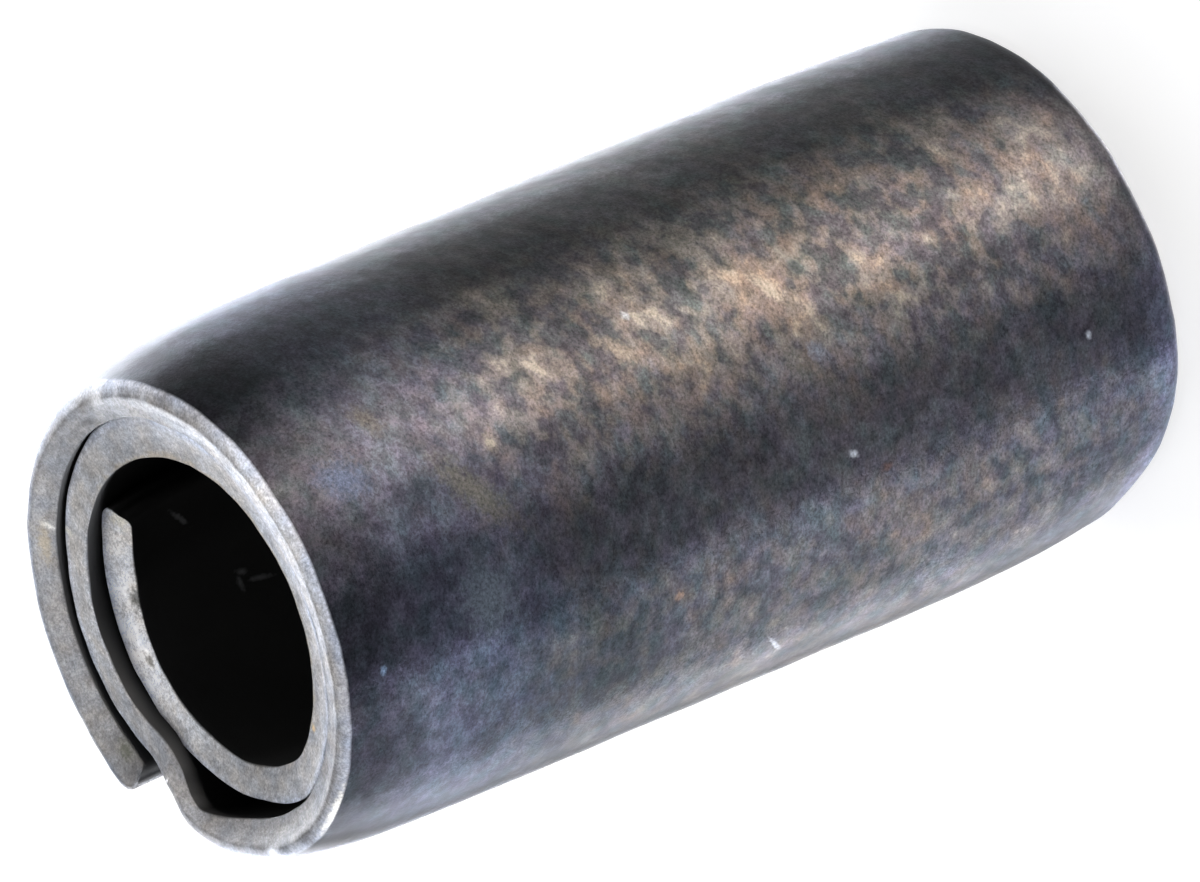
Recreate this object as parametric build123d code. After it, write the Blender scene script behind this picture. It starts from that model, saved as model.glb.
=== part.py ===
"""Coiled spring pin, rolled from one strip of spring steel.

The pin stands on its lower end with its axis on Z and the centre of that end at the origin.
Going inwards, the strip winds clockwise as seen from above: a full outer turn, a joggle that steps
it down behind its own outer edge, a second turn, and part of a third. Both ends are swaged to a
slimmer lead, so every turn there lies closer to the axis by the same amount.
Lengths are in millimetres. Angles are in degrees, anticlockwise from +X.
"""
from build123d import *
import os
from math import acos, cos, degrees, pi, radians, sin, sqrt, tan

# Driving dimensions
free_diameter = 3.18      # over the outer turn, before the pin is driven into its hole
pin_length = 6.2          # from end to end
sheet = 0.24              # thickness of the strip
turn_gap = 0.02           # free play between one turn and the next

lead_length = 1.2         # of the swaged lead at each end
lead_depth = 0.10         # how far the swaging has pressed each end in
rim_round = 0.10          # radius that breaks the outer edge of each end
rim_reach = 0.75          # how far in from that edge it starts, as a share of its radius
rim_runout = 60.0         # slope at which it runs out into the lead
end_land = 0.06           # width of the flat ring that each end stands on
dish_angle = 22.0         # slope of each end inside that ring, where the inner turns end short

joggle_angle = 137.0      # where the outside of the joggle stands upright
joggle_web = 0.14         # thickness of the strip across the joggle, which pressing has thinned
joggle_crest = 0.8        # bend radius on the swelling sides of the joggle, as a share of its step
joggle_hollow = 0.3       # bend radius on the hollow sides of the joggle, as a share of its step
seam_gap = 0.36           # open seam between the joggle and the outer edge of the strip

drop_sweep = 65.0         # angle over which the strip eases down from the second turn to the third
drop_overrun = 7.0        # how far past the foot of the joggle it is fully down
inner_end_angle = 31.0    # where the inner edge of the strip lies
inner_end_round = 0.06    # radius on the corners of that edge

TURN = 360.0
DROP_STATIONS = 7         # points along the drop from the second turn to the third
LEAD_STATIONS = 5         # sections along each swaged lead

free_radius = free_diameter / 2
face_radius = free_radius - lead_depth - rim_reach * rim_round


def polar(radius, angle):
    """Point at a radius and angle about the axis of the pin."""
    return Vector(radius * cos(radians(angle)), radius * sin(radians(angle)))


def turn(radius, start, end):
    """Circular wall of one turn, from one angle to another."""
    return CenterArc((0, 0), radius, start, end - start)


def bend(centre, start, end):
    """Shorter arc about a centre, from one point to another."""
    radius = (start - centre).length
    middle = ((start + end) / 2 - centre).normalized() * radius
    return ThreePointArc(start, centre + middle, end)


def opposite_angle(near, far, opposite):
    """Angle of a triangle between two of its sides, in degrees."""
    return degrees(acos((near**2 + far**2 - opposite**2) / (2 * near * far)))


def joggle(high, low, upright, high_share, low_share):
    """Clockwise step from one circle down to a smaller one, in two tangent bends.

    The wall stands radially where the bends meet, at the angle called upright. Returns the angles
    where the step leaves the high circle and joins the low one, and its two edges.
    """
    high_bend = high_share * (high - low)
    low_bend = low_share * (high - low)
    high_centre_radius = high - high_bend
    low_centre_radius = low + low_bend
    span = high_bend + low_bend
    corner = radians(opposite_angle(high_centre_radius, span, low_centre_radius))
    meet_radius = sqrt(
        high_centre_radius**2 + high_bend**2 - 2 * high_centre_radius * high_bend * cos(corner)
    )
    start = upright + opposite_angle(high_centre_radius, meet_radius, high_bend)
    end = start - opposite_angle(high_centre_radius, low_centre_radius, span)
    meet = polar(meet_radius, upright)
    edges = [
        bend(polar(high_centre_radius, start), polar(high, start), meet),
        bend(polar(low_centre_radius, end), meet, polar(low, end)),
    ]
    return start, end, edges


def drop(high, low, start, end):
    """Clockwise wall that eases from one circle down to a smaller one over a long angle."""
    points = []
    for station in range(DROP_STATIONS):
        share = station / (DROP_STATIONS - 1)
        radius = high - (high - low) * (1 - cos(pi * share)) / 2
        points.append(polar(radius, start + (end - start) * share))
    headings = [polar(1, angle - TURN / 4) for angle in (start, end)]
    return Spline(points, tangents=headings)


def section(shrink):
    """Face of the coil cut square to its axis, with every radius reduced by shrink."""
    outer = [free_radius - shrink - place * (sheet + turn_gap) for place in range(3)]
    inner = [radius - sheet for radius in outer]
    upright = joggle_angle - TURN
    web_angle = degrees(joggle_web / outer[1])
    tip_angle = joggle_angle - degrees((seam_gap + sheet / 2) / (free_radius - sheet / 2))

    step_out, foot_out, outer_step = joggle(
        outer[0], outer[1], upright, joggle_crest, joggle_hollow
    )
    step_in, foot_in, inner_step = joggle(
        inner[0], inner[1], upright + web_angle, joggle_hollow, joggle_crest
    )
    drop_end = foot_in - TURN - drop_overrun
    drop_start = drop_end + drop_sweep
    inner_end = inner_end_angle - 2 * TURN
    tip_centre = polar(inner[0] + sheet / 2, tip_angle)
    walls = Wire([
        turn(outer[0], tip_angle, step_out),
        *outer_step,
        turn(outer[1], foot_out, drop_start),
        drop(outer[1], outer[2], drop_start, drop_end),
        turn(outer[2], drop_end, inner_end),
        Line(polar(outer[2], inner_end), polar(inner[2], inner_end)),
        turn(inner[2], inner_end, drop_end),
        drop(inner[1], inner[2], drop_start, drop_end),
        turn(inner[1], drop_start, foot_in),
        *inner_step,
        turn(inner[0], step_in, tip_angle),
        ThreePointArc(
            polar(inner[0], tip_angle),
            tip_centre + polar(sheet / 2, tip_angle + TURN / 4),
            polar(outer[0], tip_angle),
        ),
    ])
    corners = [walls.vertices().sort_by_distance(polar(radius, inner_end))[0]
               for radius in (outer[2], inner[2])]
    return make_face(walls.fillet_2d(inner_end_round, corners))


def swage(height):
    """How far the coil is pressed in, at a height above the start of its lead."""
    sweep_radius = (lead_length**2 + lead_depth**2) / (2 * lead_depth)
    return sweep_radius - sqrt(sweep_radius**2 - height**2)


def lead():
    """Upper swaged lead, a loft through ever closer coils, standing on z = 0."""
    heights = [lead_length * station / (LEAD_STATIONS - 1) for station in range(LEAD_STATIONS)]
    return loft([Pos(0, 0, height) * section(swage(height)) for height in heights])


def rim_tool():
    """Ring of metal that rounding takes off the outer edge of an end at z = 0."""
    rounding = JernArc((face_radius, 0), (1, 0), rim_round, -rim_runout)
    run_out = rounding @ 1 + rounding % 1 * free_radius
    above = [Vector(run_out.X, rim_round), Vector(face_radius, rim_round)]
    rest = Polyline(rounding @ 1, run_out, *above, rounding @ 0)
    return revolve(Plane.XZ * make_face([rounding, *rest.edges()]), Axis.Z)


def dish_tool():
    """Shallow cone of metal missing from an end at z = 0."""
    radius = face_radius - end_land
    depth = radius * tan(radians(dish_angle))
    return Pos(0, 0, -depth / 2) * Cone(0, radius, depth)


def coiled_pin():
    """Whole pin, standing on z = 0."""
    straight = pin_length / 2 - lead_length
    half = extrude(section(0), straight) + Pos(0, 0, straight) * lead()
    half -= Pos(0, 0, pin_length / 2) * (rim_tool() + dish_tool())
    return Pos(0, 0, pin_length / 2) * (half + mirror(half, Plane.XY))


os.makedirs("parts", exist_ok=True)
export_step(coiled_pin(), "parts/coiled_pin.step")
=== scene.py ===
"""Coiled spring pin: its looks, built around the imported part.

Lengths are metres in the part's own frame: the pin stands on its lower end, with its axis on Z.
Angles are degrees, anticlockwise from +X as seen from above. They fall along the strip, which winds
clockwise inwards. Sizes of the section are shares of the pin's radius.
"""

from math import cos, pi, radians, sin, sqrt, tan

import bmesh
import bpy
import numpy as np
from mathutils import Matrix, Vector

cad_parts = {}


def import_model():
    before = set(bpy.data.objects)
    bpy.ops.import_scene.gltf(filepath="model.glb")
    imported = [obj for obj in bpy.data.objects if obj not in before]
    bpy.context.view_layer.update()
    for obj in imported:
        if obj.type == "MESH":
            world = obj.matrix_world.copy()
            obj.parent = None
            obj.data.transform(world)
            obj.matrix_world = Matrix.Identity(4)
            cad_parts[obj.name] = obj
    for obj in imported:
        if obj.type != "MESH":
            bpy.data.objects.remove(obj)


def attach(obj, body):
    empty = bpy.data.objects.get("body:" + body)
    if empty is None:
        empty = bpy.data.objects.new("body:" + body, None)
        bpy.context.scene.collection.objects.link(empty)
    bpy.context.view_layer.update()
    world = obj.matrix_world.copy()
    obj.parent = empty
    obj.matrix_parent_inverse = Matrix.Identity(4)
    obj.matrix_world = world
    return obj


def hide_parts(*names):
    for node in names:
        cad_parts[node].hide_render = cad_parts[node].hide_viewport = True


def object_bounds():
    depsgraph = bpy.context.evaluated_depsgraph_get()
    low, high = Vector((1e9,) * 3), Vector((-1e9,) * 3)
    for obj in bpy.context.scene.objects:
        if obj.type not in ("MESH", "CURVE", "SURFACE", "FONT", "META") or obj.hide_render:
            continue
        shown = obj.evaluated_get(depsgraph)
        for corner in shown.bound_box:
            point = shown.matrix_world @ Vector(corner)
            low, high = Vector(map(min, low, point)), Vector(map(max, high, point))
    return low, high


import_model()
cad_low, cad_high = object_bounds()

RADIUS = (cad_high.x - cad_low.x) / 2
LENGTH = cad_high.z - cad_low.z

# The strip at the upper end: angle, radius of its middle, thickness.
STRIP = (
    (122.0, 0.870, 0.150),      # outer edge of the strip, beside the seam
    (113.0, 0.868, 0.162),
    (100.0, 0.862, 0.152),
    (60.0, 0.860, 0.150),
    (-140.0, 0.860, 0.150),
    (-160.0, 0.844, 0.157),
    (-180.0, 0.818, 0.154),
    (-195.0, 0.797, 0.143),
    (-205.0, 0.798, 0.126),     # crest of the joggle
    (-212.0, 0.797, 0.106),
    (-217.0, 0.783, 0.094),
    (-221.0, 0.745, 0.094),
    (-223.5, 0.712, 0.100),
    (-227.0, 0.682, 0.125),
    (-232.0, 0.673, 0.142),     # foot of the joggle
    (-238.0, 0.675, 0.148),
    (-250.0, 0.688, 0.150),
    (-262.0, 0.696, 0.151),
    (-333.0, 0.696, 0.152),
    (-352.0, 0.695, 0.174),
    (-425.0, 0.690, 0.186),
    (-460.0, 0.695, 0.175),
    (-505.0, 0.700, 0.161),     # where the second turn starts to drop inwards
    (-520.0, 0.688, 0.146),
    (-533.0, 0.655, 0.138),
    (-545.0, 0.620, 0.128),
    (-556.0, 0.600, 0.126),
    (-570.0, 0.572, 0.136),
    (-590.0, 0.549, 0.145),
    (-612.0, 0.537, 0.145),
    (-630.0, 0.536, 0.147),
    (-655.0, 0.536, 0.147),
    (-672.0, 0.540, 0.145),
    (-684.0, 0.552, 0.135),     # inner edge of the strip
)
# How far the outer and the inner edge of the strip lie below the end plane: angle, outer, inner.
RECESS = (
    (122.0, 0.000, 0.038),
    (30.0, 0.000, 0.030),
    (0.0, 0.000, 0.030),
    (-140.0, 0.000, 0.034),
    (-172.0, 0.000, 0.050),
    (-200.0, 0.000, 0.045),
    (-223.0, 0.004, 0.040),
    (-240.0, 0.060, 0.037),
    (-300.0, 0.066, 0.040),
    (-320.0, 0.066, 0.050),
    (-350.0, 0.058, 0.068),
    (-380.0, 0.045, 0.080),
    (-430.0, 0.040, 0.092),
    (-500.0, 0.042, 0.096),
    (-540.0, 0.075, 0.105),
    (-590.0, 0.108, 0.118),
    (-640.0, 0.122, 0.150),
    (-668.0, 0.120, 0.157),
    (-684.0, 0.115, 0.150),
)
END_SLANT = 0.012         # drop of the upper end from its +X side to its -X side
LOWER_SLANT = 0.010       # the same at the lower end
LEAD_LENGTH = 1.30        # swaged lead at the upper end
LEAD_POWER = 5.3          # how close to the end most of its pressing lies
LEAD_DEPTH = 0.065        # how far the inner turns are pressed in at that end
END_SHIFT = (-0.038, 0.0)   # how far off the axis that end lies
LOWER_LENGTH = 1.15       # swaged lead at the lower end
LOWER_POWER = 2.2         # how close to the end most of its pressing lies
LOWER_DEPTH = 0.031       # how far that end is pressed in
DENT_ANGLE, DENT_WIDTH, DENT = -163.0, 23.0, 0.068     # where that end is pressed in further
JOGGLE_FOOT = -236.0      # where the outer turn ends and the second turn starts
TURN_EASE = 14.0          # angle over which the rounding and the oxide change there
LEAD_EASE = 21.0          # angle over which the depth of the upper lead changes there
TIP_ROUND = 0.070         # rounding of the strip's outer edge, outside
TIP_INNER_ROUND = 0.035   # the same, inside
INNER_ROUND = 0.050       # rounding of the inner edge of the strip
# Rounding of the upper rim: angle, width across, drop along the axis.
RIM = (
    (122.0, 0.030, 0.015),
    (60.0, 0.034, 0.015),
    (25.0, 0.043, 0.032),
    (0.0, 0.048, 0.036),
    (-25.0, 0.052, 0.030),
    (-60.0, 0.052, 0.028),
    (-140.0, 0.052, 0.028),
    (-200.0, 0.040, 0.020),
)
LOWER_RIM = 0.100         # rounding of the lower rim
CORNER_ROUND = 0.007      # rounding of the other edges
LARGEST_ROUND = 0.46      # share of the strip's thickness that no rounding is wider than
BURR_ANGLE, BURR_WIDTH, BURR = -655.0, 9.0, 0.028   # lip pressed inwards on the third turn
BURR_POWER = 1.5          # how close to the end it lies
WAVE = 0.0010             # unevenness of the walls
WALL_INSET = 0.0046       # how far the walls are set back, so that their waves stay in the part
WALL_WAVES = ((0.50, 1.0), (0.17, 0.4))     # length and weight of those waves
SHEAR = 0.0016            # unevenness of the sheared ends
FACE_INSET = 0.00256      # how far they are set back for it
FACE_WAVES = ((0.30, 0.8), (0.09, 0.5), (0.035, 0.1))     # length and weight of their waves
FACE_SQUEEZE = (0.7, 2.0)     # how much closer the waves are, along and across the strip
FACE_START = 9.0          # how far along them the upper end starts, and the lower end back
RIM_WAVE = 0.35           # length of the waves in the rounding
RIM_UNEVEN, CORNER_UNEVEN = 0.04, 0.3     # how far they change it, on a rim and on an edge
FACE_SEED, RIM_SEED, WALL_SEED = 7, 16, 27

COARSE, FINE = 0.022, 0.008     # spacing of the stations along the strip
FINE_ZONES = ((122.0, 108.0), (-204.0, -236.0), (-675.0, -684.0))     # where the finer one holds
MEASURES = 9000                 # places at which the strip's own length is taken
WALL_ROWS, RIM_ROWS, FACE_ROWS, CORNER_ROWS = 48, 10, 8, 4      # points over each part
# Where a rim's rounding starts to turn bare, over what share of it, and how bare it gets.
TOP_RIM_BARE = (0.0, 0.25, 1.0)
LOW_RIM_BARE = (0.35, 0.3, 0.8)
TINY = 1e-9                     # keeps a division from meeting a thickness of 0

# Looks of the strip.
GRAIN_ANGLE = radians(33)       # the stains are drawn out along this line on the wall
GRAIN_SCALE, GRAIN_START = (0.66, 1.0, 1.0), (4.3, 1.7, 0.0)
ROUGHNESS = 0.34                # of the smoothest oxide
SPECKLE_ROUGHER, CUT_ROUGHER, INSIDE_ROUGHER = 0.08, 0.25, 0.4     # what each adds to it
CUT_DULLER, INSIDE_DULLER = 0.65, 0.45      # what each takes off a metallic value of 1
ANISOTROPY, ANISOTROPY_TURN = 1.0, 0.25     # reflections are drawn out along the pin
BUMP_STRENGTH, BUMP_DEPTH = 0.16, 0.02      # the depth as a share of the radius
INSIDE_COLOUR = (0.050, 0.050, 0.050)
FIBRE_COLOUR = (0.62, 0.63, 0.66)
FRINGE_COLOUR = (0.44, 0.39, 0.32)          # of the ragged edge beside the bore
# Painted light beside the lower rim, on one side of the pin.
LOWER_RIM_PAINTED_LIGHT = (2.7, 2.8, 3.1)            # what the oxide is multiplied by there
# Painted shade just below the upper lead, on the other side.
UNDERSIDE_PAINTED_SHADE = (0.60, 0.66, 0.66)
# Small marks on the outer wall: angle, height, half length, half width, lean in degrees, colour.
WALL_MARKS = (
    (-65.9, 2.229, 0.022, 0.020, 0, (0.30, 0.31, 0.32)),
    (-111.8, 1.556, 0.018, 0.030, 20, (0.60, 0.64, 0.72)),
    (-107.5, 0.441, 0.021, 0.021, 0, (0.48, 0.52, 0.60)),
    (-88.7, 1.577, 0.045, 0.060, 30, (0.14, 0.15, 0.18)),
    (-117.4, 1.421, 0.022, 0.040, 0, (0.11, 0.072, 0.066)),
    (-127.1, 2.392, 0.028, 0.028, 0, (0.17, 0.115, 0.085)),
    (-110.5, 3.230, 0.170, 0.170, 30, (0.120, 0.145, 0.180)),
    (-75.1, 3.609, 0.110, 0.150, 20, (0.050, 0.060, 0.088)),
    # Painted glint, small and bluish, on the upper lead.
    (-115.9, 3.714, 0.024, 0.018, 0, (0.24, 0.34, 0.50)),
    (-154.5, 1.861, 0.100, 0.014, -42, (0.26, 0.27, 0.29)),
    (-72.6, 1.640, 0.110, 0.045, -40, (0.24, 0.205, 0.165)),
    (-72.6, 2.331, 0.090, 0.050, -40, (0.175, 0.145, 0.115)),
    (-80.2, 3.008, 0.045, 0.040, 0, (0.20, 0.175, 0.14)),
    (-88.5, 3.150, 0.260, 0.085, -38, (0.100, 0.094, 0.080)),
    (-64.9, 3.408, 0.110, 0.060, -35, (0.080, 0.071, 0.062)),
)
# Small marks on the sheared ends: the same, with the place across the strip for the height.
END_MARKS = (
    (50.5, -0.040, 0.020, 0.060, 0, (0.88, 0.88, 0.86)),
    (56.0, -0.020, 0.120, 0.050, 0, (0.46, 0.40, 0.31)),
    (114.0, -0.050, 0.070, 0.055, 0, (0.09, 0.095, 0.07)),
    (-151.0, 0.074, 0.180, 0.020, 0, (0.80, 0.77, 0.70)),
    (-308.5, 0.050, 0.020, 0.045, 0, (0.88, 0.86, 0.78)),
    (-500.5, -0.050, 0.026, 0.026, 0, (0.88, 0.66, 0.36)),
    (-621.0, -0.030, 0.040, 0.030, 0, (0.16, 0.15, 0.13)),
    (-647.0, -0.065, 0.090, 0.050, 0, (0.08, 0.08, 0.07)),
    (-681.0, -0.020, 0.060, 0.070, 0, (0.86, 0.82, 0.72)),
)
# Fibres caught on the wall of the bore: the same as on the wall, with a strength for the colour.
FIBRES = (
    (-671.0, 3.500, 0.085, 0.015, 43, (0.6, 0.6, 0.6)),
    (-634.5, 3.285, 0.050, 0.018, 0, (1.0, 1.0, 1.0)),
    (-638.0, 3.265, 0.018, 0.030, 0, (1.0, 1.0, 1.0)),
    (-632.9, 3.190, 0.075, 0.014, 80, (0.9, 0.9, 0.9)),
)
ENDLESS = 1e3                   # size of a mark square to its surface

# Floor, surroundings and lamps.
FLOOR_COLOUR = 0.42
FLOOR_GLOW = 0.65               # what the camera and reflections see on top of its lamplight
FLOOR_SIZE = 2.0
WORLD_LEVEL = 0.06
WHITE = (1.0, 1.0, 1.0)
COOL = (0.95, 0.98, 1.05)
WARM = (1.04, 0.99, 0.96)
LAMP_DISTANCE = 0.12            # of each softbox from the middle of the pin
# Softboxes: name, azimuth, elevation, width and height in degrees, radiance and colour.
# The low ones each light one stripe down the wall, and the top one lights the upper end.
SOFTBOXES = (
    ("key", -60, 3.5, 22, 5, 70, WARM),
    ("key_side", -41, 3.5, 20, 5, 41, WARM),
    ("spill", -84, 3.5, 28, 5, 23, WHITE),
    ("wing", -22, 3.5, 20, 5, 13, WHITE),
    ("fill", 152, 3.5, 26, 5, 74, COOL),
    ("fill_side", -169, 3.5, 48, 5, 43, COOL),
    ("rim_wing", 36, 3.5, 18, 5, 42, COOL),
    ("rim", 62, 3.5, 34, 5, 132, COOL),
    ("rim_low", 111, 3.5, 26, 5, 132, COOL),
    ("top", 90, 74, 60, 50, 2.4, WHITE),
)

# Camera, as the photograph was taken. Its distances are shares of the pin's radius.
VIEW_RIGHT = Vector((-0.3783, -0.4930, -0.7835))
VIEW_UP = Vector((0.9257, -0.1965, -0.3233))
CAMERA_DISTANCE = 130.0         # the edges look parallel, and a longer lens loses other views
NEAR_END_RIGHT, NEAR_END_UP = -1.5142, -0.6435     # where the centre of the upper end shows
FRAME_WIDTH, RADIUS_PIXELS = 1200, 277.94          # of the photograph, and of the pin in it
SENSOR = 36.0                   # its width in millimetres
CLIP_END = 10.0                 # in metres


def smooth_step(value):
    """0 below 0, 1 above 1, and an S-curve between them."""
    share = np.clip(value, 0, 1)
    return share * share * (3 - 2 * share)


def curve(keys, at):
    """Smooth curve through (place, value) keys, which overshoots none of them."""
    place, value = np.array(sorted(keys)).T
    gap = np.diff(place)
    slope = np.diff(value) / gap
    tilt = np.zeros_like(value)
    same = slope[1:] * slope[:-1] > 0
    weight = gap[1:] + gap[:-1]
    with np.errstate(divide="ignore", invalid="ignore"):
        mean = 3 * weight / ((weight + gap[1:]) / slope[:-1] + (weight + gap[:-1]) / slope[1:])
    tilt[1:-1] = np.where(same, mean, 0)
    span = np.clip(np.searchsorted(place, at) - 1, 0, len(gap) - 1)
    step = gap[span]
    share = (at - place[span]) / step
    rest = 1 - share
    return (
        value[span] * (1 + 2 * share) * rest**2 + tilt[span] * step * share * rest**2
        + value[span + 1] * (3 - 2 * share) * share**2 - tilt[span + 1] * step * rest * share**2
    )


class Waves:
    """Sum of waves of about one length that run every way over a surface."""

    def __init__(self, length, seed, count=18):
        random = np.random.default_rng(seed)
        heading = random.uniform(0, 2 * pi, count)
        number = 2 * pi / (length * random.uniform(0.7, 1.6, count))
        self.across, self.up = number * np.cos(heading), number * np.sin(heading)
        self.phase = random.uniform(0, 2 * pi, count)
        self.scale = sqrt(2 / count)

    def at(self, across, up):
        """Height of the waves there, mostly from -1 to 1."""
        total = np.zeros(np.broadcast(across, up).shape)
        for k, l, phase in zip(self.across, self.up, self.phase):
            total += np.sin(k * across + l * up + phase)
        return total * self.scale


def strip_share(angle):
    """How far along the strip an angle lies: 0 at its outer edge, 1 at its inner edge."""
    return (STRIP[0][0] - angle) / (STRIP[0][0] - STRIP[-1][0])


def stations():
    """Angles along the strip at which the mesh has a row of points, closer where it bends most."""
    angle = np.linspace(STRIP[0][0], STRIP[-1][0], MEASURES)
    radius = curve([(a, r) for a, r, _ in STRIP], angle)
    x, y = radius * np.cos(np.radians(angle)), radius * np.sin(np.radians(angle))
    length = np.hypot(np.diff(x), np.diff(y))
    spacing = np.full(len(length), COARSE)
    for start, end in FINE_ZONES:
        spacing[(angle[1:] <= start) & (angle[1:] >= end)] = FINE
    walked = np.concatenate([[0], np.cumsum(length / spacing)])
    run = np.concatenate([[0], np.cumsum(length)])
    count = int(walked[-1]) + 1
    at = np.linspace(0, walked[-1], count)
    return np.interp(at, walked, angle), np.interp(at, walked, run)


def loop_plan():
    """Places round the strip's edge: which wall or edge each is on, and how far along it."""
    graded = [(1 - cos(pi * k / (WALL_ROWS - 1))) / 2 for k in range(WALL_ROWS)]
    even = [k / (WALL_ROWS - 1) for k in range(WALL_ROWS)]
    rows = [(g + e) / 2 for g, e in zip(graded, even)]
    plan = [("outer", share) for share in rows]
    plan += [("top_rim", k / RIM_ROWS) for k in range(1, RIM_ROWS)]
    plan += [("top", k / FACE_ROWS) for k in range(FACE_ROWS + 1)]
    plan += [("top_corner", k / CORNER_ROWS) for k in range(1, CORNER_ROWS)]
    plan += [("inner", share) for share in reversed(rows)]
    plan += [("low_corner", 1 - k / CORNER_ROWS) for k in range(1, CORNER_ROWS)]
    plan += [("low", 1 - k / FACE_ROWS) for k in range(FACE_ROWS + 1)]
    plan += [("low_rim", 1 - k / RIM_ROWS) for k in range(1, RIM_ROWS)]
    return plan


def pressed(depth, length, power):
    """Share of its full depth that the swaging has reached, at a depth below the end plane."""
    return (np.clip(length - depth, 0, length) / length) ** power


def coil_points():
    """Grid of points over the coil, its strip coordinates, and how bare and how inward each is."""
    angle, run = stations()
    heading = np.radians(angle)
    middle = curve([(a, r) for a, r, _ in STRIP], angle)
    thick = curve([(a, t) for a, _, t in STRIP], angle)
    outer_recess = curve([(a, d) for a, d, _ in RECESS], angle)
    inner_recess = curve([(a, d) for a, _, d in RECESS], angle)
    centre = np.stack([middle * np.cos(heading), middle * np.sin(heading)], -1)
    along = np.gradient(centre, axis=0)
    along /= np.linalg.norm(along, axis=1)[:, None]
    outward = np.stack([-along[:, 1], along[:, 0]], -1)
    radial = np.stack([np.cos(heading), np.sin(heading)], -1)

    # Half-thicknesses, with the rounding at the strip's outer and inner edges.
    def rounded(left, size):
        share = np.clip(left / size, 0, 1)
        return size * (1 - np.sqrt(share * (2 - share)))

    from_end = run[-1] - run
    out_side = thick / 2 - rounded(run, TIP_ROUND) - rounded(from_end, INNER_ROUND)
    in_side = -thick / 2 + rounded(run, TIP_INNER_ROUND) + rounded(from_end, INNER_ROUND)
    burr = BURR * np.exp(-((angle - BURR_ANGLE) / BURR_WIDTH) ** 2)
    dent = DENT * np.exp(-((angle - DENT_ANGLE) / DENT_WIDTH) ** 2)

    past_foot = angle - JOGGLE_FOOT
    outer_turn = smooth_step(past_foot / TURN_EASE)
    to_full_radius = 1 - middle - thick / 2
    growth = LEAD_DEPTH + (to_full_radius - LEAD_DEPTH) * smooth_step(past_foot / LEAD_EASE)
    room = (out_side - in_side) * LARGEST_ROUND
    rim_waves = Waves(RIM_WAVE, RIM_SEED)
    corner = np.minimum(CORNER_ROUND * (1 + CORNER_UNEVEN * rim_waves.at(run, 3)), room)
    even = 1 + RIM_UNEVEN * rim_waves.at(run, 0)

    def rounding(width, drop):
        """Width and drop of a rim's rounding. It becomes a plain corner on the inner turns."""
        return (np.minimum(corner + (width - corner) * outer_turn * even, room),
                corner + (drop - corner) * outer_turn * even)

    on_rim = np.clip(angle, RIM[-1][0], RIM[0][0])
    rims = {
        1: rounding(curve([(a, w) for a, w, _ in RIM], on_rim),
                    curve([(a, d) for a, _, d in RIM], on_rim)),
        -1: rounding(LOWER_RIM, LOWER_RIM),
    }

    tall = LENGTH / RADIUS
    slant = {1: END_SLANT * (1 - centre[:, 0]) / 2, -1: LOWER_SLANT * (1 + centre[:, 0]) / 2}
    face_waves = [(Waves(length, FACE_SEED + n), weight)
                  for n, (length, weight) in enumerate(FACE_WAVES)]

    def end_height(sign, across):
        """Height of an end face there."""
        width = rims[sign][0]
        share = np.clip((out_side - width - across) / (thick - width), 0, 1)
        depth = outer_recess + (inner_recess - outer_recess) * share + slant[sign]
        at = run * FACE_SQUEEZE[0] + FACE_START * sign, across * FACE_SQUEEZE[1]
        depth = depth + SHEAR * sum(waves.at(*at) * weight for waves, weight in face_waves)
        depth = depth + FACE_INSET
        return tall - depth if sign > 0 else depth

    wall_waves = [(Waves(length, WALL_SEED + n), weight)
                  for n, (length, weight) in enumerate(WALL_WAVES)]
    points, coordinates, bare, inside, along_strip = [], [], [], [], []
    ends = {}
    for sign in (1, -1):
        width, drop = rims[sign]
        ends[sign] = (end_height(sign, out_side - width) - sign * drop,
                      end_height(sign, in_side + corner) - sign * corner)
    for kind, share in loop_plan():
        turn_in = share * pi / 2
        sign = -1 if kind.startswith("low") else 1
        width, drop = rims[sign]
        if kind == "outer":
            across, height = out_side, ends[-1][0] + (ends[1][0] - ends[-1][0]) * share
        elif kind == "inner":
            across, height = in_side, ends[-1][1] + (ends[1][1] - ends[-1][1]) * share
        elif kind.endswith("rim"):
            across = out_side - width * (1 - cos(turn_in))
            height = ends[sign][0] + sign * drop * sin(turn_in)
        elif kind.endswith("corner"):
            across = in_side + corner * (1 - sin(turn_in))
            height = ends[sign][1] + sign * corner * cos(turn_in)
        else:
            across = (out_side - width) + (in_side + corner - out_side + width) * share
            height = end_height(sign, across)
        near = pressed(tall - height, LEAD_LENGTH, LEAD_POWER)
        far = pressed(height, LOWER_LENGTH, LOWER_POWER)
        outer_share = np.clip((across - in_side) / (out_side - in_side + TINY), 0, 1)
        shift = -burr * near**BURR_POWER * (1 - outer_share)
        swell = growth * (1 - near) - (LOWER_DEPTH + dent * np.sqrt(far)) * far - WALL_INSET
        swell += WAVE * sum(waves.at(run, height) * weight for waves, weight in wall_waves)
        place = centre + radial * swell[:, None] + outward * (across + shift)[:, None]
        place = place + np.array(END_SHIFT) * near[:, None]
        points.append(np.concatenate([place, height[:, None]], -1))
        coordinates.append(np.stack([run, height, across], -1))
        bare.append(np.full(len(run), bareness(kind, share)))
        outside = outer_turn if kind in ("outer", "top_rim", "low_rim") else np.zeros(len(run))
        inside.append(1 - outside)
        along_strip.append(strip_share(angle))
    grids = [np.stack(column, 1) for column in (points, coordinates, bare, inside, along_strip)]

    # Onto the floor, and up to the part's own height.
    height = grids[0][..., 2]
    height -= height.min()
    height *= tall / height.max()
    return grids


def bareness(kind, share):
    """1 on a sheared end, 0 on a wall, and between them on the rounding."""
    if kind in ("top", "low"):
        return 1.0
    if kind.endswith("rim"):
        start, width, most = TOP_RIM_BARE if kind == "top_rim" else LOW_RIM_BARE
        return most * float(smooth_step((share - start) / width))
    if kind.endswith("corner"):
        return 1 - share
    return 0.0


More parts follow.
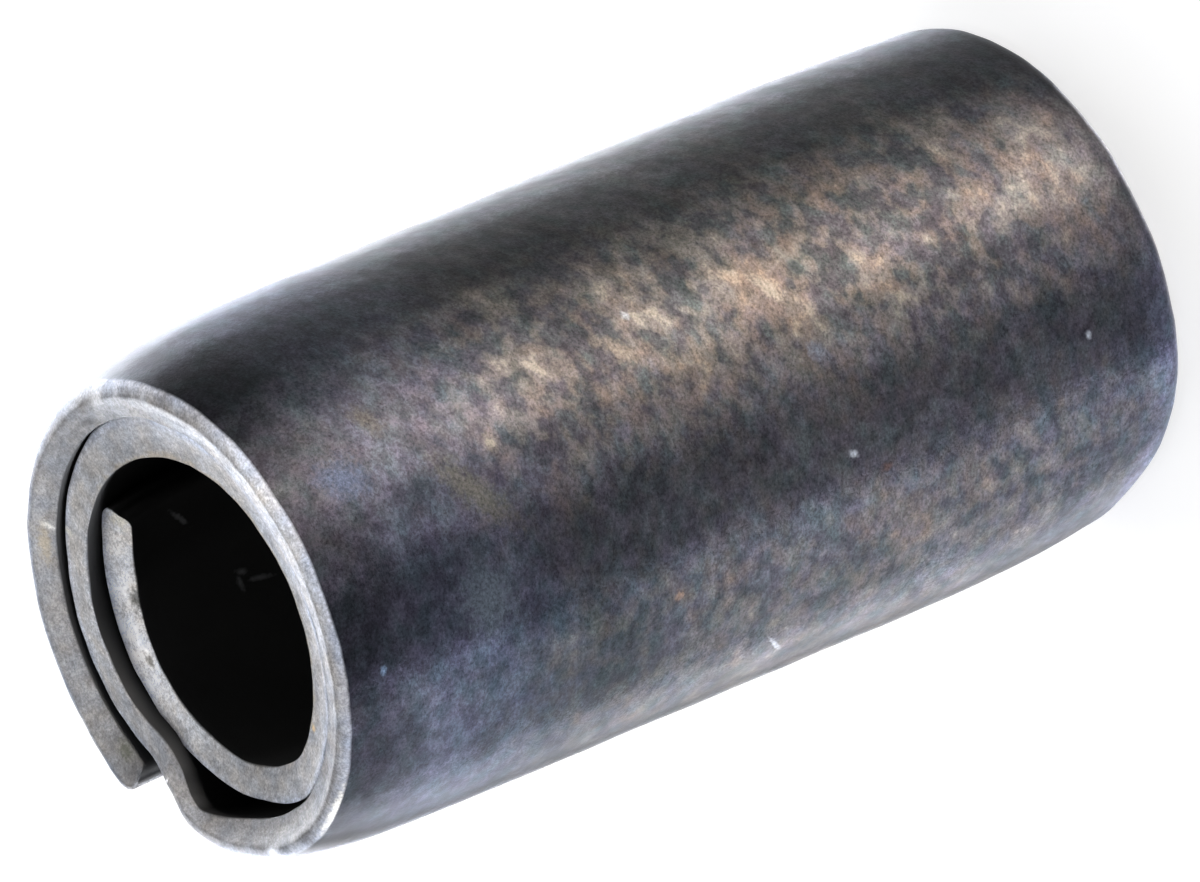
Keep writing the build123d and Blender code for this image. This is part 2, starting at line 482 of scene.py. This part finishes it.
def coil_faces(rows, loop):
    """Quads over the grid of points, closed round the strip's edge, with its two ends filled."""
    faces = []
    for row in range(rows - 1):
        here, there = row * loop, (row + 1) * loop
        for k in range(loop):
            n = (k + 1) % loop
            faces.append((here + k, here + n, there + n, there + k))
    inner_top = WALL_ROWS + RIM_ROWS + FACE_ROWS + CORNER_ROWS - 1
    inner_low = inner_top + WALL_ROWS - 1
    for first in (0, (rows - 1) * loop):
        for k in range(WALL_ROWS - 1):
            inner = first + inner_low - k
            faces.append((first + k, first + k + 1, inner - 1, inner))
        faces.append(range(first + WALL_ROWS - 1, first + inner_top + 1))
        faces.append([first, *range(first + inner_low, first + loop)])
    return [tuple(face) for face in faces]


def coil():
    """The whole pin as one closed mesh."""
    points, coordinates, bare, inside, along_strip = coil_points()
    faces = coil_faces(*points.shape[:2])
    mesh = bpy.data.meshes.new("coiled_pin_surface")
    mesh.from_pydata((points.reshape(-1, 3) * RADIUS).tolist(), [], faces)
    for name, kind, values in (
        ("strip", "FLOAT_VECTOR", coordinates),
        ("bare", "FLOAT", bare),
        ("inside", "FLOAT", inside),
        ("along_strip", "FLOAT", along_strip),
    ):
        field = "vector" if kind == "FLOAT_VECTOR" else "value"
        attribute = mesh.attributes.new(name, kind, "POINT")
        attribute.data.foreach_set(field, values.astype(np.float32).ravel())
    shape = bmesh.new()
    shape.from_mesh(mesh)
    bmesh.ops.recalc_face_normals(shape, faces=shape.faces)
    shape.to_mesh(mesh)
    shape.free()
    mesh.polygons.foreach_set("use_smooth", [True] * len(mesh.polygons))
    made = bpy.data.objects.new("coiled_pin_surface", mesh)
    bpy.context.scene.collection.objects.link(made)
    return made


class Nodes:
    """Short way to build a material's nodes."""

    def __init__(self, name):
        self.material = bpy.data.materials.new(name)
        self.material.use_nodes = True
        self.tree = self.material.node_tree
        self.tree.nodes.clear()

    def add(self, kind, inputs=(), **settings):
        """New node, with its settings, and a value or another node's socket for each input."""
        node = self.tree.nodes.new("ShaderNode" + kind)
        for name, value in settings.items():
            setattr(node, name, value)
        for name, value in dict(inputs).items():
            self.put(node.inputs[name], value)
        return node

    def put(self, socket, value):
        """Value on a socket, or a link to it."""
        if isinstance(value, bpy.types.NodeSocket):
            self.tree.links.new(value, socket)
        else:
            socket.default_value = value

    def math(self, operation, *values, clamp=False):
        """Result of one sum."""
        node = self.add("Math", operation=operation, use_clamp=clamp)
        for socket, value in zip(node.inputs, values):
            self.put(socket, value)
        return node.outputs[0]

    def noise(self, vector, scale, detail=3.0, rough=0.55):
        """Cloudy noise from 0 to 1."""
        inputs = {"Vector": vector, "Scale": scale, "Detail": detail, "Roughness": rough}
        return self.add("TexNoise", inputs).outputs["Fac"]

    def ramp(self, factor, stops, blend="LINEAR"):
        """Colours or greys at places from 0 to 1."""
        node = self.add("ValToRGB", {"Fac": factor})
        band = node.color_ramp
        band.interpolation = blend
        while len(band.elements) < len(stops):
            band.elements.new(0.5)
        for element, (place, colour) in zip(band.elements, stops):
            grey = (colour,) * 3 if isinstance(colour, (int, float)) else colour
            element.position, element.color = place, (*grey, 1)
        return node.outputs["Color"]

    def mix(self, factor, low, high, blend="MIX"):
        """Mix of two colours."""
        node = self.add("Mix", data_type="RGBA", blend_type=blend)
        self.put(node.inputs[0], factor)
        for socket, value in ((node.inputs[6], low), (node.inputs[7], high)):
            self.put(socket, (*value, 1) if isinstance(value, tuple) else value)
        return node.outputs[2]

    def times(self, colour, by):
        """Product of two colours, or of a colour and a grey."""
        return self.mix(1.0, colour, by, "MULTIPLY")

    def finish(self, shader):
        """Shader joined to the material's output."""
        self.add("OutputMaterial", {"Surface": shader.outputs[0]})
        return self.material


def spring_steel():
    """Black oxide over spring steel: worn and stained outside, bare on the sheared ends, with
    painted light and shade on both.
    """
    n = Nodes("spring_steel")
    strip = n.add("Attribute", attribute_name="strip").outputs["Vector"]
    bare = n.add("Attribute", attribute_name="bare").outputs["Fac"]
    inside = n.add("Attribute", attribute_name="inside").outputs["Fac"]
    share = n.add("Attribute", attribute_name="along_strip").outputs["Fac"]
    _, height, across = n.add("SeparateXYZ", {"Vector": strip}).outputs
    turned = n.add("Mapping", {"Vector": strip, "Rotation": (0, 0, GRAIN_ANGLE)}).outputs[0]
    grain = n.add("Mapping", {
        "Vector": turned, "Scale": GRAIN_SCALE, "Location": GRAIN_START,
    }).outputs[0]
    speckle = n.noise(strip, 100.0, 1.5, 0.8)
    wobble = n.math("MULTIPLY_ADD", n.noise(strip, 45.0, 2.0), 1.2, -0.6)

    body = outside_oxide(n, strip, grain, share, height)
    body = marked(n, body, strip, wobble, WALL_MARKS, on_wall=True)
    body = n.times(body, n.math("MULTIPLY", speckle, 2.0))
    cut = sheared_end(n, strip, share, across)
    cut = marked(n, cut, strip, wobble, END_MARKS, on_wall=False)
    cut = n.times(cut, n.math("MULTIPLY_ADD", speckle, 1.5, 0.25))
    colour = n.mix(inside, body, INSIDE_COLOUR)
    colour = n.mix(bare, colour, cut)
    fibre = marked(n, (0.0, 0.0, 0.0), strip, wobble, FIBRES, on_wall=True)
    colour = n.mix(fibre, colour, FIBRE_COLOUR)

    inner_wall = n.math("MULTIPLY", inside, n.math("SUBTRACT", 1.0, bare))
    rough = n.math("MULTIPLY_ADD", speckle, SPECKLE_ROUGHER, ROUGHNESS)
    rough = n.math("MULTIPLY_ADD", bare, CUT_ROUGHER, rough)
    rough = n.math("MULTIPLY_ADD", inner_wall, INSIDE_ROUGHER, rough)
    metal = n.math("MULTIPLY_ADD", bare, -CUT_DULLER, 1.0)
    metal = n.math("MULTIPLY_ADD", inside, -INSIDE_DULLER, metal)
    # Part of the third turn's end is chalky rather than metallic.
    chalky = n.ramp(share, around(((-600, 0.0), (-620, 0.6), (-650, 0.6), (-662, 0.0))))
    metal = n.math("SUBTRACT", metal, chalky)
    metal = n.math("SUBTRACT", metal, fibre, clamp=True)
    lumps = n.noise(grain, 14.0, 2.0, 0.5)
    bumps = n.math("MULTIPLY_ADD", lumps, 0.5, n.math("MULTIPLY", speckle, 0.3))
    bump = n.add("Bump", {
        "Height": bumps, "Strength": BUMP_STRENGTH, "Distance": BUMP_DEPTH * RADIUS,
    })
    tangent = n.add("Tangent", direction_type="RADIAL", axis="Z")
    shader = n.add("BsdfPrincipled", {
        "Base Color": colour, "Metallic": metal, "Roughness": rough,
        "Normal": bump.outputs[0], "Tangent": tangent.outputs[0],
        "Anisotropic": ANISOTROPY, "Anisotropic Rotation": ANISOTROPY_TURN,
    })
    return n.finish(shader)


def marked(n, colour, strip, wobble, marks, on_wall):
    """Colour with small marks on it, each soft and ragged at its edge."""
    angles, runs = stations()
    for angle, place, half_length, half_width, lean, tint in marks:
        run = float(np.interp(-angle, -angles, runs))
        middle = (run, place, 0) if on_wall else (run, 0, place)
        size = (half_length, half_width, ENDLESS) if on_wall else (half_length, ENDLESS, half_width)
        local = n.add("Mapping", {
            "Vector": strip, "Location": middle, "Rotation": (0, 0, radians(lean)), "Scale": size,
        }, vector_type="TEXTURE").outputs[0]
        away = n.add("VectorMath", {0: local}, operation="LENGTH").outputs["Value"]
        mask = n.ramp(n.math("ADD", away, wobble), ((0.1, 0.85), (1.0, 0.0)), "EASE")
        colour = n.mix(mask, colour, tint)
    return colour


def around(stops):
    """Stops of a ramp over along_strip, from (angle, value) pairs."""
    return [(strip_share(angle), value) for angle, value in stops]


def outside_oxide(n, strip, grain, share, height):
    """Colour of the oxide on the outside, with painted light and shade over it."""
    level = n.math("MULTIPLY", height, RADIUS / LENGTH)
    drift = n.noise(strip, 3.0, 2.0)
    place = n.math("ADD", share, n.math("MULTIPLY_ADD", drift, 0.016, -0.008))
    # Painted shade and light round the pin: a darker stripe near -41, and a lighter, bluer one from
    # -98 to -117.
    oxide_and_painted_light = n.ramp(place, around((
        (0, (0.048, 0.051, 0.057)), (-41, (0.030, 0.032, 0.035)), (-60, (0.050, 0.050, 0.053)),
        (-72, (0.058, 0.055, 0.056)), (-86, (0.057, 0.055, 0.061)), (-98, (0.060, 0.061, 0.073)),
        (-110, (0.058, 0.060, 0.074)), (-117, (0.067, 0.070, 0.088)),
        (-126, (0.047, 0.049, 0.058)), (-160, (0.045, 0.048, 0.056)),
    )))
    clouds = n.noise(grain, 5.0, 4.0, 0.6)
    oxide_and_painted_light = n.times(oxide_and_painted_light, n.ramp(clouds, ((0.28, 0.74), (0.5, 0.98), (0.72, 1.32))))
    small = n.noise(strip, 20.0, 3.0, 0.6)
    oxide_and_painted_light = n.times(oxide_and_painted_light, n.ramp(small, ((0.34, 0.72), (0.5, 1.0), (0.66, 1.38))))
    hue = n.noise(strip, 11.0, 3.0)
    oxide_and_painted_light = n.times(oxide_and_painted_light, n.ramp(hue, (
        (0.35, (0.90, 1.04, 0.98)), (0.5, (1.0, 1.0, 1.0)), (0.65, (1.06, 0.97, 1.03)),
    )))

    # Tan and cream flecks of wear, thickest in the broad band where the key highlight falls, where
    # they also stand in as painted highlight, and thin on both leads.
    highlight_band = n.ramp(place, around((
        (-40, 0.10), (-58, 0.8), (-68, 1.0), (-80, 1.0), (-92, 0.55), (-106, 0.12),
        (-118, 0.30), (-128, 0.45), (-150, 0.35),
    )))
    clumps = n.math("MULTIPLY_ADD", n.noise(grain, 6.5, 2.0, 0.5), 0.5,
                    n.math("MULTIPLY", n.noise(strip, 14.0, 2.0, 0.5), 0.5))
    flecks_and_painted_highlight = n.ramp(clumps, ((0.42, 0.0), (0.54, 0.38), (0.67, 1.0)), "EASE")
    worn = n.ramp(level, (
        (0.0, 0.1), (0.05, 0.7), (0.12, 1.0), (0.72, 1.0), (0.79, 0.45), (0.86, 0.15),
    ))
    flecks_and_painted_highlight = n.math("MULTIPLY", n.math("MULTIPLY", flecks_and_painted_highlight, highlight_band), worn)
    fleck_colour = n.ramp(n.noise(strip, 6.0, 2.0), (
        (0.42, (0.180, 0.134, 0.102)), (0.58, (0.225, 0.195, 0.160)),
    ))
    oxide_and_painted_light = n.mix(flecks_and_painted_highlight, oxide_and_painted_light, fleck_colour)

    # Painted shade and light along the pin: darker at both ends and lighter between them, and bluer
    # over the upper lead.
    oxide_and_painted_light = n.times(oxide_and_painted_light, n.ramp(level, (
        (0.0, (0.68, 0.70, 0.76)), (0.06, (1.08, 1.10, 1.18)), (0.20, (1.24, 1.24, 1.26)),
        (0.38, (1.26, 1.24, 1.22)), (0.52, (1.10, 1.10, 1.10)), (0.70, (0.94, 0.94, 0.96)),
        (0.80, (1.12, 1.16, 1.36)), (0.885, (1.06, 1.10, 1.30)), (0.925, (0.80, 0.82, 0.92)),
        (0.96, (0.56, 0.57, 0.64)), (1.0, (0.48, 0.48, 0.52)),
    )))

    # Painted light: paler beside the lower rim, from where the lower half of the pin as seen by the
    # camera starts.
    below = n.ramp(level, ((0.0, 1.0), (0.07, 0.0)), "EASE")
    painted_light_side = n.ramp(place, around(((-84, 0.0), (-104, 1.0))), "EASE")
    oxide_and_painted_light = n.mix(n.math("MULTIPLY", below, painted_light_side), oxide_and_painted_light, n.times(oxide_and_painted_light, LOWER_RIM_PAINTED_LIGHT))

    # Painted shade: darker in the lower half of the pin as seen by the camera, just below the upper
    # lead.
    above = n.ramp(level, ((0.56, 0.0), (0.72, 1.0), (0.82, 1.0), (0.90, 0.0)))
    painted_shade_side = n.ramp(place, around(((-113, 0.0), (-121, 1.0), (-146, 1.0), (-160, 0.2))))
    return n.mix(n.math("MULTIPLY", above, painted_shade_side), oxide_and_painted_light, n.times(oxide_and_painted_light, UNDERSIDE_PAINTED_SHADE))


def sheared_end(n, strip, share, across):
    """Colour of the bare sheared ends of the strip, with painted light and shade."""
    mottle = n.noise(strip, 15.0, 5.0, 0.65)
    steel = n.ramp(mottle, (
        (0.28, (0.66, 0.66, 0.69)), (0.5, (0.99, 0.99, 1.02)), (0.74, (1.30, 1.29, 1.30)),
    ))
    # Brightness along the strip, set region by region: partly the steel's own paleness and partly
    # painted light and shade, lightest on the turns deep in the bore.
    brightness_and_painted_light = n.ramp(share, around((
        (122, 0.15), (112, 0.21), (95, 0.30), (55, 0.34), (20, 0.22), (0, 0.21), (-30, 0.34),
        (-60, 0.54), (-90, 0.50), (-115, 0.38), (-150, 0.25), (-180, 0.22), (-205, 0.22),
        (-240, 0.36), (-290, 0.64), (-315, 0.60), (-335, 0.48), (-360, 0.40), (-400, 0.46),
        (-430, 0.52), (-480, 0.48), (-520, 0.50), (-545, 0.42), (-575, 0.52), (-597, 0.76),
        (-616, 0.95), (-652, 0.95), (-663, 0.84), (-684, 0.78),
    )))
    steel = n.times(steel, brightness_and_painted_light)
    lines = n.add("Mapping", {"Vector": strip, "Scale": (0.6, 0.0, 55.0)}).outputs[0]
    steel = n.times(steel, n.ramp(n.noise(lines, 1.0, 2.0), ((0.35, 0.94), (0.65, 1.04))))
    # Painted reflection: the outer edge of each end is tinted bluer.
    outer_edge_painted_reflection = n.ramp(across, ((0.035, 0.0), (0.066, 1.0)))
    steel = n.times(steel, n.mix(outer_edge_painted_reflection, (1.0, 1.0, 1.0), (0.97, 1.02, 1.12)))
    hue = n.noise(strip, 9.0, 3.0)
    steel = n.times(steel, n.ramp(hue, (
        (0.36, (1.04, 1.0, 0.95)), (0.5, (1.0, 1.0, 1.01)), (0.64, (0.96, 1.0, 1.06)),
    )))

    # Ragged warm edge beside the bore.
    ragged = n.math("MULTIPLY_ADD", n.noise(strip, 14.0, 4.0, 0.7), 0.12,
                    n.math("MULTIPLY", across, -1.0))
    fringe = n.math("MULTIPLY", n.ramp(ragged, ((0.125, 0.0), (0.145, 1.0))),
                    n.ramp(share, around(((-300, 0.0), (-350, 0.8), (-510, 0.8), (-560, 0.3)))))
    steel = n.mix(fringe, steel, FRINGE_COLOUR)
    pits = n.ramp(n.noise(strip, 45.0, 3.0, 0.7), ((0.3, 0.76), (0.5, 1.0), (0.7, 1.22)))
    return n.times(steel, pits)


def backdrop():
    """Matte pale floor that keeps shadows, with a glow for the camera and reflections alone."""
    n = Nodes("floor")
    path = n.add("LightPath").outputs
    seen = n.math("MAXIMUM", path["Is Camera Ray"], path["Is Glossy Ray"])
    seen = n.math("MAXIMUM", seen, path["Is Transmission Ray"])
    matte = n.add("BsdfDiffuse", {"Color": (FLOOR_COLOUR, FLOOR_COLOUR, FLOOR_COLOUR, 1)})
    strength = n.math("MULTIPLY", seen, FLOOR_GLOW)
    glow = n.add("Emission", {"Color": (1, 1, 1, 1), "Strength": strength})
    return n.finish(n.add("AddShader", {0: matte.outputs[0], 1: glow.outputs[0]}))


def floor():
    """Wide flat floor under the pin."""
    mesh = bpy.data.meshes.new("floor")
    half = FLOOR_SIZE / 2
    corners = [(-half, -half, 0), (half, -half, 0), (half, half, 0), (-half, half, 0)]
    mesh.from_pydata(corners, [], [(0, 1, 2, 3)])
    mesh.materials.append(backdrop())
    made = bpy.data.objects.new("floor", mesh)
    bpy.context.scene.collection.objects.link(made)
    return made


def softbox(name, azimuth, elevation, wide, high, radiance, colour):
    """Rectangular lamp that faces the pin. Wide and high are angles as seen from the pin."""
    a, e = radians(azimuth), radians(elevation)
    back = Vector((cos(a) * cos(e), sin(a) * cos(e), sin(e)))
    lamp = bpy.data.lights.new(name, "AREA")
    lamp.shape = "RECTANGLE"
    lamp.size = 2 * LAMP_DISTANCE * tan(radians(wide / 2))
    lamp.size_y = 2 * LAMP_DISTANCE * tan(radians(high / 2))
    lamp.energy = radiance * lamp.size * lamp.size_y * pi
    lamp.color = colour
    made = bpy.data.objects.new(name, lamp)
    made.location = Vector((0, 0, LENGTH / 2)) + back * LAMP_DISTANCE
    made.rotation_euler = back.to_track_quat("Z", "Y").to_euler()
    made.visible_camera = False
    bpy.context.scene.collection.objects.link(made)
    return made


def camera():
    """Camera at the photograph's viewing angle."""
    right = VIEW_RIGHT.normalized()
    up = (VIEW_UP - VIEW_UP.dot(right) * right).normalized()
    back = right.cross(up)
    data = bpy.data.cameras.new("camera")
    data.sensor_width = SENSOR
    data.lens = CAMERA_DISTANCE * RADIUS_PIXELS / FRAME_WIDTH * SENSOR
    data.clip_start, data.clip_end = RADIUS, CLIP_END
    made = bpy.data.objects.new("camera", data)
    aim = Vector((0, 0, LENGTH)) - (NEAR_END_RIGHT * right + NEAR_END_UP * up) * RADIUS
    made.matrix_world = Matrix.Translation(aim + back * CAMERA_DISTANCE * RADIUS) @ Matrix(
        (right, up, back)).transposed().to_4x4()
    bpy.context.scene.collection.objects.link(made)
    bpy.context.scene.camera = made


def world():
    """Even surroundings above the floor."""
    made = bpy.data.worlds.new("studio")
    made.use_nodes = True
    light = made.node_tree.nodes["Background"]
    light.inputs["Color"].default_value = (1, 1, 1, 1)
    light.inputs["Strength"].default_value = WORLD_LEVEL
    bpy.context.scene.world = made


pin = coil()
pin.data.materials.append(spring_steel())
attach(pin, "root")
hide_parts("coiled_pin")

floor()
camera()
world()
for lamp in SOFTBOXES:
    softbox(*lamp)

bpy.context.scene.view_settings.view_transform = "Standard"
